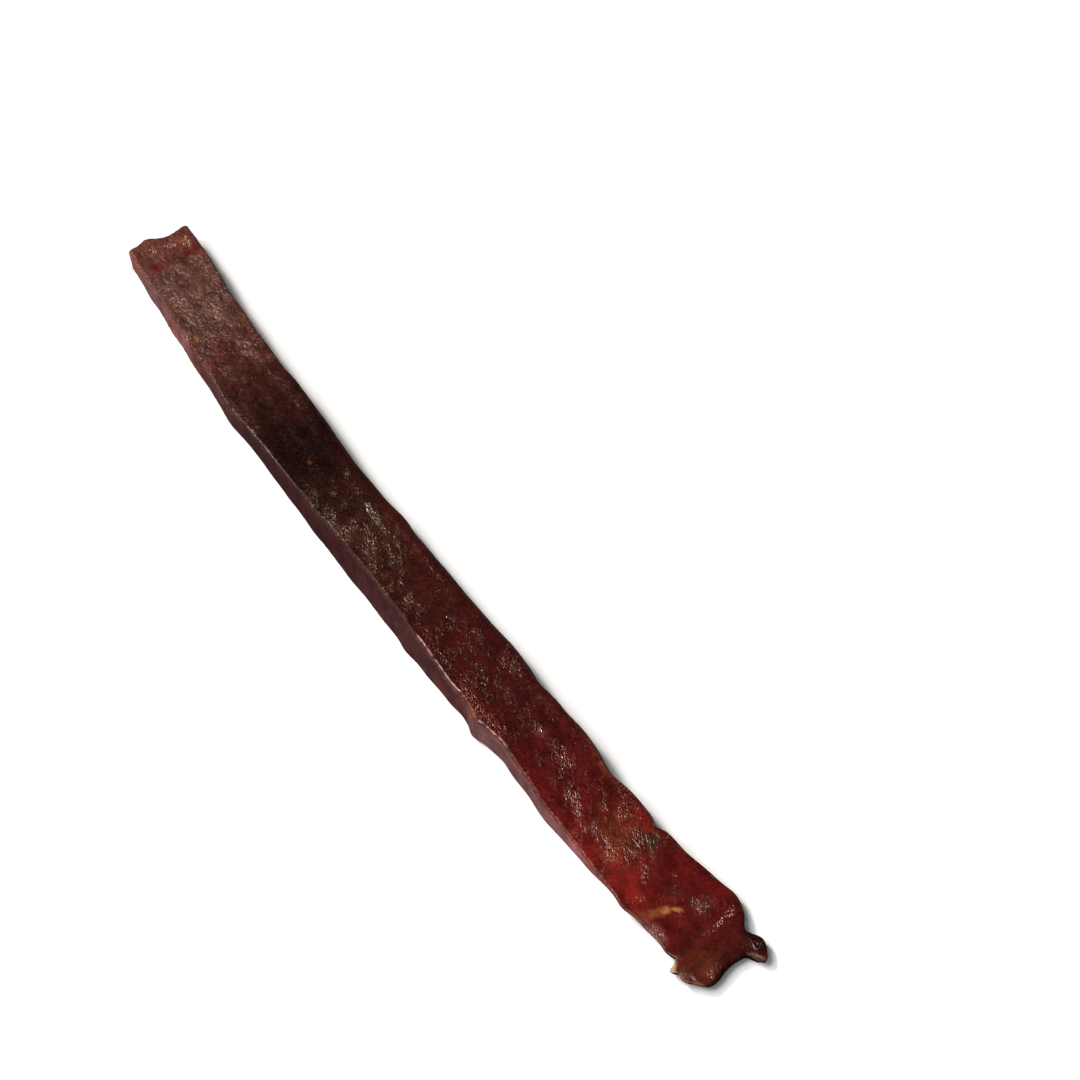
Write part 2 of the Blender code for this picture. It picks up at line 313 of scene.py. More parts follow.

# Clusters of bright flecks, which are painted glints: where along and across, half sizes, turn and strength
# CLUSTER_SURE is the share of their flecks that is there whatever the patches say
Cluster = namedtuple("Cluster", "along across half_length half_width turn strength")
CLUSTERS = (
    Cluster(3.0, -0.38, 1.0, 1.1, 0, 1.7),
    Cluster(2.5, 0.15, 0.6, 1.6, 0, 1.7),
    Cluster(3.3, 0.68, 1.5, 0.8, 0, 1.7),
    Cluster(6.5, 0.11, 0.6, 0.6, 0, 1.2),
    Cluster(9.3, 0.62, 1.0, 0.7, 0, 1.2),
    Cluster(9.6, -0.84, 0.6, 0.4, 0, 1.6),
    Cluster(13.5, -0.05, 3.0, 2.0, -20, 0.7),
    Cluster(47.0, -0.76, 2.6, 0.9, -8, 1.0),
    Cluster(47.5, 0.55, 1.6, 1.9, 0, 0.6),
    Cluster(55.5, 0.45, 0.4, 0.4, 0, 1.0),
    Cluster(60.0, -0.15, 1.2, 0.5, -20, 0.9),
    Cluster(63.5, 0.50, 1.0, 0.6, -20, 1.0),
    Cluster(70.0, -0.68, 1.0, 0.8, 0, 1.0),
    Cluster(76.5, -0.25, 7.0, 2.6, -12, 0.75),
    Cluster(85.0, 0.60, 8.0, 0.5, -4, 0.8),
    Cluster(99.0, 0.50, 3.5, 0.8, -25, 0.9),
    Cluster(106.5, -0.30, 4.0, 1.4, -20, 1.0),
    Cluster(110.0, -0.82, 11.0, 1.3, 0, 0.9),
    Cluster(123.5, 0.10, 2.6, 0.9, -30, 1.0),
    Cluster(130.0, -0.35, 2.4, 0.8, -35, 0.9),
    Cluster(137.0, -0.10, 5.0, 2.8, -25, 0.7),
    Cluster(139.4, 0.50, 2.4, 1.4, -10, 0.9),
    Cluster(142.4, -0.14, 2.0, 0.6, -30, 1.0),
    Cluster(145.3, -0.66, 0.8, 1.2, 0, 1.0),
    Cluster(145.0, 0.30, 0.6, 0.5, 0, 0.8),
    Cluster(149.6, 0.32, 1.2, 1.2, 30, 1.0),
    Cluster(149.9, -0.86, 1.6, 0.6, 0, 1.1),
    Cluster(152.1, 0.66, 0.9, 0.35, -53, 1.5),
    Cluster(153.0, 0.36, 1.2, 0.35, -63, 1.5),
    Cluster(153.5, 0.06, 0.8, 0.35, 80, 1.3),
    Cluster(156.1, 0.80, 1.1, 0.9, 0, 1.0),
    Cluster(157.0, -0.40, 1.0, 1.1, 0, 1.0),
)
CLUSTER_SURE = 0.6

# Thin pale lines, a pale fibre near the torn tip and painted highlights along the crest: where each starts
# and ends, along and across, and how strong it is
# Noise thins and breaks them, and none is looked for past LINE_MARGIN from its ends
Line = namedtuple("Line", "start end strength")
LINES = (
    Line(start=(156.4, -0.80), end=(157.4, -0.80), strength=0.4),
    Line(start=(95.5, -0.97), end=(99.5, -0.97), strength=0.8),
    Line(start=(100.5, -0.97), end=(108.0, -0.97), strength=1.0),
    Line(start=(112.5, -0.97), end=(118.0, -0.97), strength=0.8),
)
LINE_WIDTH = 0.11
LINE_WOBBLE = 0.5
LINE_WOBBLE_SIZE = 1.2
LINE_MARGIN = 1
FIBRE_AND_HIGHLIGHT_LINE_COLOUR = (0.75, 0.50, 0.42)

# Looks finer than the mesh, which the material makes: sizes of its clouds, cells and swirls
# Long flecks are drawn out along the fibres by FIBRE_STRETCH, and the fibres curl by up to CURL
CLOUD_SIZE = 2.4
MOTTLE_SIZE = 0.55
GLOSS_SIZE = 0.5
GRAIN_CELL = 0.5
ROUND_FLECK = 0.34
LONG_FLECK = 0.17
DOME_SIZE = 0.24
DOME_HEIGHT = 0.14
DUST_SIZE = 0.16
DUST_HEIGHT = 0.04
FIBRE_STRETCH = 2.0
CURL = 0.2
CURL_SIZE = 0.5

# How a value becomes a shade or a strength: low and high become to_low and to_high, on a smooth curve
Range = namedtuple("Range", "low high to_low to_high")
CLOUD_SHADES = Range(low=0.3, high=0.7, to_low=0.70, to_high=1.25)
MOTTLE_SHADES = Range(low=0.3, high=0.7, to_low=0.65, to_high=1.35)
# PAINTED_GRAIN_SHADING paints the grains lighter in their middles and darker in the gaps between them, as
# light and shade
PAINTED_GRAIN_SHADING = Range(low=0.25, high=0.75, to_low=1.15, to_high=0.75)
SIDE_MOTTLE = Range(low=0, high=1, to_low=0.35, to_high=1)
SIDE_LUMPS = Range(low=0, high=1, to_low=0.05, to_high=1)
FLECK_CHOICE = Range(low=0, high=0.8, to_low=0, to_high=1)
FLECK_FORM = Range(low=0.15, high=0.45, to_low=1, to_high=0)
FLECK_STRENGTH = Range(low=0.6, high=1.5, to_low=0.42, to_high=0.95)
GLOSS_CHANGE = Range(low=0.35, high=0.65, to_low=-0.07, to_high=0.10)

# What is left of the mottle on smooth meat, and of the domes between the patches of flecks
SMOOTH_MOTTLE = 0.2
SPARSE_DOMES = 0.15

# Roughness of wet meat, and what dullness adds to it
WET_ROUGHNESS = 0.20
DULL_ROUGHNESS = 0.22
MEAT_IOR = 1.45

# How much of the light sinks into the meat, how deep, and how deep each of its colours goes
LIGHT_SINKING = 0.25
LIGHT_DEPTH = 0.8
LIGHT_DEPTHS = (1.0, 0.22, 0.15)

# Camera: the point that it looks at, and how far away, how high and which way from there it stands
# Its sensor and lens are in millimetres
AIM = Vector((6.450, 19.678, 0.0)) * MM
CAMERA_DISTANCE = 314 * MM
CAMERA_ELEVATION = math.radians(47)
CAMERA_BEARING = math.radians(-32.16)
SENSOR = 36.0
LENS = 73.33

# Floor, in metres: a round one with this many sides, just under the strip
FLOOR_RADIUS = 6.0
FLOOR_SIDES = 96
FLOOR_DROP = 0.05 * MM
FLOOR_COLOUR = (0.84, 0.84, 0.84, 1.0)
FLOOR_ROUGHNESS = 0.9
FLOOR_SHINE = 0.1

# Soft far lights: the way to each one as seen from the camera, its strength, and its width in degrees
WHITE = (1.0, 1.0, 1.0)
WARM_WHITE = (1.0, 0.93, 0.86)
Sun = namedtuple("Sun", "name right away up strength width colour")
SUNS = (
    Sun(name="key", right=-0.55, away=-0.10, up=0.83, strength=2.6, width=35, colour=WHITE),
    Sun(name="fill", right=-0.2, away=-0.6, up=0.77, strength=1.1, width=60, colour=WHITE),
    Sun(name="glint", right=-0.62, away=0.32, up=0.70, strength=2.0, width=10, colour=WARM_WHITE),
)

# Light from all round: from below and from above, and the heights between which one turns into the other
GLOW_BELOW = 0.05
GLOW_ABOVE = 0.01
GLOW_LOW = -0.1
GLOW_HIGH = 0.05


def mixed(one, two, share):
    """Colours or rows of numbers: the first where the share is 0, the second where it is 1."""
    return tuple(a + (b - a) * share for a, b in zip(one, two))


def at_least(least, share):
    """This least amount where the share is 0, rising to 1 where the share is 1."""
    return least + (1 - least) * share


def hump(distance, spread):
    """A smooth hump: 1 at its middle and close to 0 past twice its spread."""
    return math.exp(-((distance / spread) ** 2))


def fade(distance, reach):
    """1 where the distance is 0, falling smoothly to 0 at this reach."""
    t = min(max(1 - distance / reach, 0), 1)
    return t * t * (3 - 2 * t)


def station_at(along):
    """All columns of STATIONS at this distance, on smooth curves through its rows."""
    along = min(max(along, STATIONS[0].along), STATIONS[-1].along)
    last = len(STATIONS) - 1
    first = next(n for n in range(last) if along <= STATIONS[n + 1].along)
    start, end = STATIONS[first], STATIONS[first + 1]
    span = end.along - start.along
    t = (along - start.along) / span

    def slope(n, column):
        before = STATIONS[max(n - 1, 0)]
        after = STATIONS[min(n + 1, last)]
        return (after[column] - before[column]) / (after.along - before.along)

    return Station(*(
        start[column] * (1 + 2 * t) * (1 - t) ** 2
        + end[column] * t * t * (3 - 2 * t)
        + slope(first, column) * span * t * (1 - t) ** 2
        - slope(first + 1, column) * span * t * t * (1 - t)
        for column in range(len(start))
    ))


def rounded_end(distance):
    """Distance from an end, how far the skin is drawn in there, and how much it faces along the strip."""
    if distance >= END_ROUND:
        return distance, 0.0, 0.0
    angle = distance / END_ROUND * math.pi / 2
    return END_ROUND * (1 - math.cos(angle)), END_ROUND * (1 - math.sin(angle)), math.cos(angle)


def rounded_section(across, up, half_width, thick, far_round):
    """Place and outward direction in the cross-section, for a point of a box from -1 to 1 by 0 to 1."""
    if up < 0.5:
        radius = FOOT_ROUND
    else:
        radius = CREST_ROUND if across < 0 else far_round
    y = across * half_width
    z = up * thick
    inner_y = min(max(y, radius - half_width), half_width - radius)
    inner_z = min(max(z, radius), thick - radius)
    out = Vector((y - inner_y, z - inner_z))
    if out.length > 0:
        out = out.normalized()
    return inner_y + out.x * radius, inner_z + out.y * radius, out


def edge_shift(along, side):
    """How far a long edge stands out at this distance: its own bumps and nicks, and a small wobble."""
    shift = WOBBLE * noise.noise(Vector((along / WOBBLE_LENGTH, side * EDGE_NOISE_AT, 0.0)))
    for feature in EDGE_FEATURES:
        if feature.side == side:
            shift += feature.out * hump(along - feature.along, feature.spread)
    return shift


def end_shift(across, points):
    """How far the points of an end stand out at this place across it."""
    return sum(point.out * hump(across - point.across, point.spread) for point in points)


def relief(x, y, z):
    """Height of the meat's surface over its smooth form."""
    ridges = noise.noise(Vector((x / RIDGE_LENGTH, y / RIDGE_WIDTH, z / RIDGE_WIDTH)))
    lumps = noise.noise(Vector((x / LUMP_SIZE, y / LUMP_SIZE + LUMP_NOISE_AT, z / LUMP_SIZE)))
    return RIDGE_DEPTH * ridges + LUMP_DEPTH * lumps


def along_fibres(x, y, z, length, width):
    """This place counted along and across the slanting fibres, in units of this length and width."""
    along = x * math.cos(FIBRE_ANGLE) + y * math.sin(FIBRE_ANGLE)
    beside = y * math.cos(FIBRE_ANGLE) - x * math.sin(FIBRE_ANGLE)
    return Vector((along / length, beside / width, z / width))


def patch_share(x, y, z, density):
    """How far this place is inside a patch of thick grain and flecks: 0 between patches, 1 well inside."""
    place = along_fibres(x, y, z, PATCH_LENGTH, PATCH_WIDTH)
    height = noise.noise(place) + PATCH_FINER_SHARE * noise.noise(place * PATCH_FINER)
    return 1 - fade(height - PATCH_LOW + PATCH_WIDENING * density, PATCH_SPAN)


def fine_relief(x, y, z, grain, dull, flecks):
    """Wrinkles along the fibres, pebbles where the meat is dull, and crumbs where flecks are thick."""
    wrinkle = noise.noise(along_fibres(x, y, z, WRINKLE_LENGTH, WRINKLE_WIDTH))
    coarse = noise.noise(along_fibres(x, y, z, GRAIN_LENGTH, GRAIN_WIDTH))
    place = Vector((x, y, z))
    crumb = noise.noise(place / CRUMB_SIZE)
    pebble = 1 - min(noise.voronoi(place / PEBBLE_SIZE)[0][0], 1) ** 2
    glossy = 1 - dull
    thick = at_least(SPARSE_GRAIN, flecks)
    return (
        WRINKLE_DEPTH * (WRINKLE_LEVEL - abs(wrinkle)) * at_least(SMOOTH_WRINKLES, grain * glossy)
        + PEBBLE_DEPTH * pebble * grain * dull
        + GRAIN_DEPTH * coarse * grain * thick * glossy
        + CRUMB_DEPTH * crumb * grain * thick
    )


def lip(x, across, up):
    """Height of the lip, which only the near half of the top has."""
    if up < 1 or across > 0:
        return 0.0
    return LIP_HEIGHT * hump(1 + across, LIP_WIDTH) * fade(abs(x - LIP_MIDDLE), LIP_HALF_LENGTH)


def stretch_at(along):
    """All columns of STRETCHES at this distance, blended smoothly."""
    last = len(STRETCHES) - 1
    along = min(max(along, STRETCHES[0].along), STRETCHES[-1].along)
    first = next(n for n in range(last) if along <= STRETCHES[n + 1].along)
    start, end = STRETCHES[first], STRETCHES[first + 1]
    t = 1 - fade(along - start.along, end.along - start.along)
    colour = mixed(start.colour, end.colour, t)
    side = mixed(start.side, end.side, t)
    return Stretch(along, colour, side, *mixed(start[3:], end[3:], t))


class Ring:
    """What all points of one cross-section share."""

    def __init__(self, along):
        from_sliced, drawn_in_sliced, facing_sliced = rounded_end(along)
        from_torn, drawn_in_torn, facing_torn = rounded_end(LENGTH - along)
        self.from_sliced = from_sliced
        self.from_torn = from_torn
        self.x = from_sliced if along < LENGTH / 2 else LENGTH - from_torn
        self.drawn_in = drawn_in_sliced + drawn_in_torn
        self.end_share = facing_torn - facing_sliced
        self.side_share = math.sqrt(1 - self.end_share ** 2)
        self.station = station_at(self.x)
        self.shifts = {side: edge_shift(self.x, side) for side in (NEAR, FAR)}


Skin = namedtuple("Skin", "place flatness colour grain dull flecks")


def skin_point(ring, across, up):
    """One point of the skin, with its looks, for a point of a plain box: across -1 to 1 and up 0 to 1."""
    station = ring.station
    y, z, out = rounded_section(across, up, station.width / 2, station.thick, station.far_round)
    y -= ring.drawn_in * across
    z += ring.drawn_in * (1 - 2 * up)

    side = NEAR if across < 0 else FAR
    y += side * ring.shifts[side] * across * across
    if side == NEAR:
        y += station.lean * across * across * (1 - up)
    y += station.middle

    flatness = abs(out.y)
    x = ring.x
    wander = WANDER * noise.noise(Vector((x / WANDER_SIZE, y / WANDER_SIZE, WANDER_NOISE_AT)))
    stretch = stretch_at(x + wander)
    top_share = fade(1 - flatness, 1)
    colour = mixed(stretch.side, stretch.colour, top_share)
    colour, grain = spotted(colour, stretch.grain, x, across, top_share)
    colour = lined(colour, x, across, top_share)
    colour = mixed(colour, NEAR_BLACK, TORN_SHADE * max(ring.end_share, 0.0))
    cluster = clustered(x, across) * top_share
    common = stretch.flecks * grain / stretch.grain
    density = max(common * at_least(SIDE_FLECKS, top_share), cluster)
    flecks = max(density * patch_share(x, y, z, density), cluster * CLUSTER_SURE)
    dull = stretch.dull * (1 - min(CLUSTER_WET * cluster, 1))
    edge_share = 4 * flatness * (1 - flatness)
    dull += SIDE_DULL * (1 - flatness) + EDGE_DULL * edge_share

    height = relief(x, y, z)
    fine = fine_relief(x, y, z, grain, stretch.dull, flecks) * at_least(CUT_FACE_SHARE, flatness)
    x += ring.end_share * (height + fine)
    y += out.x * ring.side_share * (height * SLICED_SIDE_SHARE + fine)
    z += out.y * ring.side_share * (height + fine) + lip(ring.x, across, up)

    x -= end_shift(across, SLICED_POINTS) * fade(ring.from_sliced, SLICED_REACH)
    x += end_shift(across, TORN_POINTS) * fade(ring.from_torn, TORN_REACH)
    x -= TORN_UNDERCUT * (1 - up) * fade(ring.from_torn, UNDERCUT_REACH)
    z = max(z + station.lift, 0.0)
    return Skin(Vector((x, y, z)) * MM, flatness, colour, grain, dull, flecks)


def reach_of(spot, x, across):
    """How strongly a spot or a cluster reaches this place, with a ragged edge."""
    ahead = x - spot.along
    if abs(ahead) > SPOT_REACH * max(spot.half_length, spot.half_width):
        return 0.0
    beside = (across - spot.across) * HALF_WIDTH
    turn = math.radians(spot.turn)
    length = (ahead * math.cos(turn) + beside * math.sin(turn)) / spot.half_length
    width = (beside * math.cos(turn) - ahead * math.sin(turn)) / spot.half_width
    size = min(RAGGED_SIZE, spot.half_width)
    ragged = RAGGED * noise.noise(Vector((x / size, across * HALF_WIDTH / size, spot.along)))
    past_core = max(math.hypot(length, width) + ragged - SPOT_CORE, 0)
    return spot.strength * fade(past_core, SPOT_FADE)


def spotted(colour, grain, x, across, top_share):
    """The colour and the grain with the spots of the broad faces that reach this place."""
    for spot in SPOTS:
        amount = reach_of(spot, x, across) * top_share
        if amount > 0:
            colour = mixed(colour, spot.colour, amount)
            grain += (spot.grain - grain) * amount
    return colour, grain


def clustered(x, across):
    """How strongly the strongest cluster reaches this place."""
    return max(reach_of(cluster, x, across) for cluster in CLUSTERS)


def lined(colour, x, across, top_share):
    """The colour with the thin pale lines of the broad faces that cross this place: a pale fibre, and
    painted highlights along the crest.
    """
    place = Vector((x, across * HALF_WIDTH))
    for line in LINES:
        if not line.start[0] - LINE_MARGIN < x < line.end[0] + LINE_MARGIN:
            continue
        start = Vector((line.start[0], line.start[1] * HALF_WIDTH))
        way = Vector((line.end[0], line.end[1] * HALF_WIDTH)) - start
        share = min(max((place - start).dot(way) / way.length_squared, 0), 1)
        distance = (place - start - way * share).length
        broken = LINE_WOBBLE * abs(noise.noise(Vector((x / LINE_WOBBLE_SIZE, across * HALF_WIDTH, 0.0))))
        colour = mixed(colour, FIBRE_AND_HIGHLIGHT_LINE_COLOUR, line.strength * top_share * hump(distance + broken, LINE_WIDTH))
    return colour


def even_steps(start, end, steps):
    return [start + (end - start) * n / steps for n in range(steps + 1)]


def lattice(low, high, low_round, high_round, steps):
    """Even steps from low to high, with a few finer ones inside each rounded edge."""
    first = even_steps(low, low + low_round, STEPS_ROUND)
    middle = even_steps(low + low_round, high - high_round, steps)
    last = even_steps(high - high_round, high, STEPS_ROUND)
    return first + middle[1:-1] + last


def section_places():
    """Once round the box's cross-section: up the near side, over the top, down the far side and back."""
    up = lattice(0, 1, FOOT_ROUND_SHARE, TOP_ROUND_SHARE, STEPS_SIDE)
    over = lattice(-1, 1, NEAR_ROUND_SHARE, FAR_ROUND_SHARE, STEPS_TOP)
    under = lattice(-1, 1, NEAR_ROUND_SHARE, NEAR_ROUND_SHARE, STEPS_UNDER)
    return (
        [(-1, value) for value in up[:-1]]
        + [(value, 1) for value in over[:-1]]
        + [(1, value) for value in reversed(up[1:])]
        + [(value, 0) for value in reversed(under[1:])]
    )


def cap_places(places, share):
    """The same places drawn towards the middle of the end face."""
    return [(across * share, 0.5 + (up - 0.5) * share) for across, up in places]


def skin_faces(rings, count):
    """Faces between neighbouring rings, and a fan round each end's middle, the last two of the points."""
    faces = []
    for i in range(rings - 1):
        for j in range(count):
            after = (j + 1) % count
            faces.append((
                i * count + j,
                i * count + after,
                (i + 1) * count + after,
                (i + 1) * count + j,
            ))
    last_ring = (rings - 1) * count
    first_middle = rings * count
    for j in range(count):
        after = (j + 1) % count
        faces.append((first_middle, after, j))
        faces.append((first_middle + 1, last_ring + j, last_ring + after))
    return faces


def build_skin(name):
    """The strip's closed skin as one mesh: rings from end to end, and each end face as shrinking rings."""
    places = section_places()
    alongs = lattice(0, LENGTH, END_ROUND, END_ROUND, STEPS_ALONG)
    shares = [1 - n / CAP_RINGS for n in range(1, CAP_RINGS)]
    sliced, torn = Ring(0.0), Ring(LENGTH)
    skin = []
    for share in reversed(shares):
        skin += [skin_point(sliced, *place) for place in cap_places(places, share)]
    for along in alongs:
        ring = Ring(along)
        skin += [skin_point(ring, *place) for place in places]
    for share in shares:
        skin += [skin_point(torn, *place) for place in cap_places(places, share)]
    faces = skin_faces(len(skin) // len(places), len(places))
    skin += [skin_point(sliced, 0, 0.5), skin_point(torn, 0, 0.5)]

    data = bpy.data.meshes.new(name)
    data.from_pydata([point.place for point in skin], [], faces)
    data.shade_smooth()
    return data, skin


FINISHES = ("grain", "dull", "flatness", "flecks")


def add_looks(data, skin):
    """Keep each point's colour and finish on the mesh, for the material to read."""
    colours = data.attributes.new("meat_colour", "FLOAT_COLOR", "POINT")
    colours.data.foreach_set("color", np.array([(*p.colour, 1.0) for p in skin], np.float32).ravel())
    for name in FINISHES:
        values = data.attributes.new(name, "FLOAT", "POINT")
        values.data.foreach_set("value", np.array([getattr(p, name) for p in skin], np.float32))


def stand_in_box(data, low, high):
    """Move the mesh so that it stands where the plain solid does."""
    places = np.array([vertex.co for vertex in data.vertices])
    middle = (places.min(0) + places.max(0)) / 2
    shift = np.array((
        (low.x + high.x) / 2 - middle[0],
        (low.y + high.y) / 2 - middle[1],
        low.z - places[:, 2].min(),
    ))
    data.vertices.foreach_set("co", (places + shift).astype(np.float32).ravel())
    data.update()


class Tree:
    """A short way to add nodes and links to a material."""

    def __init__(self, material):
        material.use_nodes = True
        self.tree = material.node_tree
        self.shader = self.tree.nodes["Principled BSDF"]

    def link(self, source, target):
        self.tree.links.new(source, target)

    def put(self, target, value):
        if isinstance(value, bpy.types.NodeSocket):
            self.link(value, target)
        else:
            target.default_value = value

    def add(self, kind, **settings):
        node = self.tree.nodes.new(kind)
        for name, value in settings.items():
            setattr(node, name, value)
        return node

    def attribute(self, name, output):
        return self.add("ShaderNodeAttribute", attribute_name=name).outputs[output]

    def maths(self, operation, *values, clamp=False):
        node = self.add("ShaderNodeMath", operation=operation, use_clamp=clamp)
        for target, value in zip(node.inputs, values):
            self.put(target, value)
        return node.outputs[0]

    def at_least(self, least, share):
        """This least amount where the share is 0, rising to 1 where the share is 1."""
        return self.maths("MULTIPLY_ADD", share, 1 - least, least)

    def ranged(self, value, low, high, to_low, to_high):
        node = self.add("ShaderNodeMapRange", interpolation_type="SMOOTHSTEP")
        for target, given in zip(node.inputs, (value, low, high, to_low, to_high)):
            self.put(target, given)
        return node.outputs[0]

    def mix(self, kind, share, one, two, **settings):
        node = self.add("ShaderNodeMix", data_type=kind, **settings)
        self.put(node.inputs["Factor"], share)
        self.put(node.inputs["A"], one)
        self.put(node.inputs["B"], two)
        return node.outputs["Result"]

    def between(self, share, one, two):
        """The number one where the share is 0, two where it is 1 or more."""
        return self.mix("FLOAT", share, one, two, clamp_factor=True)

    def blend(self, share, one, two):
        """The colour one where the share is 0, two where it is 1."""
        return self.mix("RGBA", share, one, two)

    def shaded(self, colour, shade, share=1.0):
        """The colour made lighter or darker by this shade, as far as the share says."""
        return self.mix("RGBA", share, colour, shade, blend_type="MULTIPLY")

    def noise(self, place, size, detail, roughness=0.5, output="Fac"):
        """Cloudy noise with features of this size in millimetres."""
        node = self.add("ShaderNodeTexNoise")
        self.put(node.inputs["Vector"], place)
        self.put(node.inputs["Scale"], 1 / size)
        self.put(node.inputs["Detail"], detail)
        self.put(node.inputs["Roughness"], roughness)
        return node.outputs[output]

    def warped(self, place, size, amount):
        """The place moved about by up to this many millimetres, in swirls of this size."""
        moved = self.add("ShaderNodeVectorMath", operation="MULTIPLY_ADD")
        swirls = self.noise(place, size, detail=1, output="Color")
        for target, value in zip(moved.inputs, (swirls, (amount, amount, amount), place)):
            self.put(target, value)
        return moved.outputs["Vector"]

    def cells(self, place, size):
        """Distance from the middle of the nearest small cell, and that cell's own random number."""
        node = self.add("ShaderNodeTexVoronoi")
        self.put(node.inputs["Vector"], place)
        self.put(node.inputs["Scale"], 1 / size)
        red = self.add("ShaderNodeSeparateColor")
        self.link(node.outputs["Color"], red.inputs["Color"])
        return node.outputs["Distance"], red.outputs["Red"]

    def flecks(self, place, size, density):
        """Small flecks, painted glints, some bright and more of them faint, in as many of the cells as the
        density says.
        """
        distance, chance = self.cells(place, size)
        chosen = self.ranged(self.maths("SUBTRACT", density, chance), *FLECK_CHOICE)
        return self.maths("MULTIPLY", chosen, self.ranged(distance, *FLECK_FORM))

    def bump(self, height, depth, normal=None):
        """The surface raised by this height, up to this depth in millimetres."""
        node = self.add("ShaderNodeBump")
        self.put(node.inputs["Distance"], depth * MM)
        self.put(node.inputs["Height"], height)
        if normal is not None:
            self.put(node.inputs["Normal"], normal)
        return node.outputs["Normal"]


Looks = namedtuple("Looks", ("colour", *FINISHES))


def meat_places(tree):
    """Each point's place in millimetres, and the same place counted along the slanting fibres."""
    mapping = tree.add("ShaderNodeMapping")
    tree.put(mapping.inputs["Vector"], tree.add("ShaderNodeTexCoord").outputs["Object"])
    tree.put(mapping.inputs["Scale"], (1 / MM, 1 / MM, 1 / MM))
    place = mapping.outputs["Vector"]
    slanted = tree.add("ShaderNodeMapping", vector_type="TEXTURE")
    tree.put(slanted.inputs["Vector"], place)
    tree.put(slanted.inputs["Rotation"], (0, 0, FIBRE_ANGLE))
    tree.put(slanted.inputs["Scale"], (FIBRE_STRETCH, 1, 1))
    return place, slanted.outputs["Vector"]


def meat_colour(tree, looks, place, fibre, grains):
    """The colour with darker and lighter clouds, a mottle, painted light and shade on the grains, and
    flecks that are painted glints.
    """
    clouds = tree.noise(place, CLOUD_SIZE, detail=2)
    colour = tree.shaded(looks.colour, tree.ranged(clouds, *CLOUD_SHADES))

    # The mottle is faint on the cut sides
    mottle = tree.noise(place, MOTTLE_SIZE, detail=3, roughness=0.65)
    rough = tree.at_least(SMOOTH_MOTTLE, looks.grain)
    face = tree.maths("MULTIPLY", tree.ranged(looks.flatness, *SIDE_MOTTLE), rough)
    colour = tree.shaded(colour, tree.ranged(mottle, *MOTTLE_SHADES), face)

    # On dull stretches, painted light and shade on the grains: lighter middles, and darker gaps between the
    # grains where shade falls
    grain_shading_share = tree.maths("MULTIPLY", face, looks.dull, clamp=True)
    colour = tree.shaded(colour, tree.ranged(grains, *PAINTED_GRAIN_SHADING), grain_shading_share)

    # Painted glints: small bright flecks, round on dull stretches and drawn out along the fibres on others
    round_ones = tree.flecks(place, ROUND_FLECK, looks.flecks)
    long_ones = tree.flecks(fibre, LONG_FLECK, looks.flecks)
    bright = tree.between(looks.dull, long_ones, round_ones)
    strength = tree.ranged(looks.flecks, *FLECK_STRENGTH)
    return tree.blend(tree.maths("MULTIPLY", bright, strength), colour, PAINTED_GLINT_COLOUR)


def meat_roughness(tree, looks, place):
    """Dull stretches scatter the light, and smooth ones shine, both a little unevenly."""
    patches = tree.noise(place, GLOSS_SIZE, detail=3)
    even = tree.maths("MULTIPLY_ADD", looks.dull, DULL_ROUGHNESS, WET_ROUGHNESS)
    return tree.maths("ADD", even, tree.ranged(patches, *GLOSS_CHANGE), clamp=True)


def meat_normal(tree, looks, place, fibre, grains):
    """Relief finer than the mesh holds: small domes, high where flecks are thick, and dust over them."""
    share = tree.maths("MULTIPLY", looks.grain, tree.ranged(looks.flatness, *SIDE_LUMPS))
    thick = tree.maths("MAXIMUM", tree.at_least(SPARSE_DOMES, looks.flecks), looks.dull)
    lumpy = tree.maths("MULTIPLY", share, tree.maths("MINIMUM", thick, 1.0))
    distance = tree.between(looks.dull, tree.cells(fibre, DOME_SIZE)[0], grains)
    domes = tree.maths("MULTIPLY", tree.maths("MULTIPLY", distance, distance), lumpy)
    normal = tree.bump(tree.maths("MULTIPLY", domes, -1.0), DOME_HEIGHT)
    dust = tree.maths("MULTIPLY", tree.noise(place, DUST_SIZE, detail=1), lumpy)
    return tree.bump(dust, DUST_HEIGHT, normal)


def jerky_material():
    """Dried meat: mottled dark red-brown, with fine grain, small bright flecks that are painted glints, and
    a greasy gloss.
    """
    material = bpy.data.materials.new("dried_duck_meat_fine")
    tree = Tree(material)
    place, straight_fibre = meat_places(tree)
    fibre = tree.warped(straight_fibre, CURL_SIZE, CURL)
    grains = tree.cells(place, GRAIN_CELL)[0]
    finishes = [tree.attribute(name, "Fac") for name in FINISHES]
    looks = Looks(tree.attribute("meat_colour", "Color"), *finishes)

    shader = tree.shader.inputs
    tree.put(shader["Base Color"], meat_colour(tree, looks, place, fibre, grains))
    tree.put(shader["Roughness"], meat_roughness(tree, looks, place))
    tree.put(shader["Normal"], meat_normal(tree, looks, place, fibre, grains))
    shader["Metallic"].default_value = 0.0
    shader["Specular Tint"].default_value = SHINE_COLOUR
    shader["IOR"].default_value = MEAT_IOR
    shader["Subsurface Weight"].default_value = LIGHT_SINKING
    shader["Subsurface Radius"].default_value = LIGHT_DEPTHS
    shader["Subsurface Scale"].default_value = LIGHT_DEPTH * MM
    return material


def build_strip(low, high):
    """The dressed strip, standing in the box of the plain solid."""
    data, skin = build_skin("jerky_skin")
    add_looks(data, skin)
    stand_in_box(data, low, high)
    data.materials.append(jerky_material())
    strip = bpy.data.objects.new("jerky_skin", data)
    bpy.context.scene.collection.objects.link(strip)
    return strip


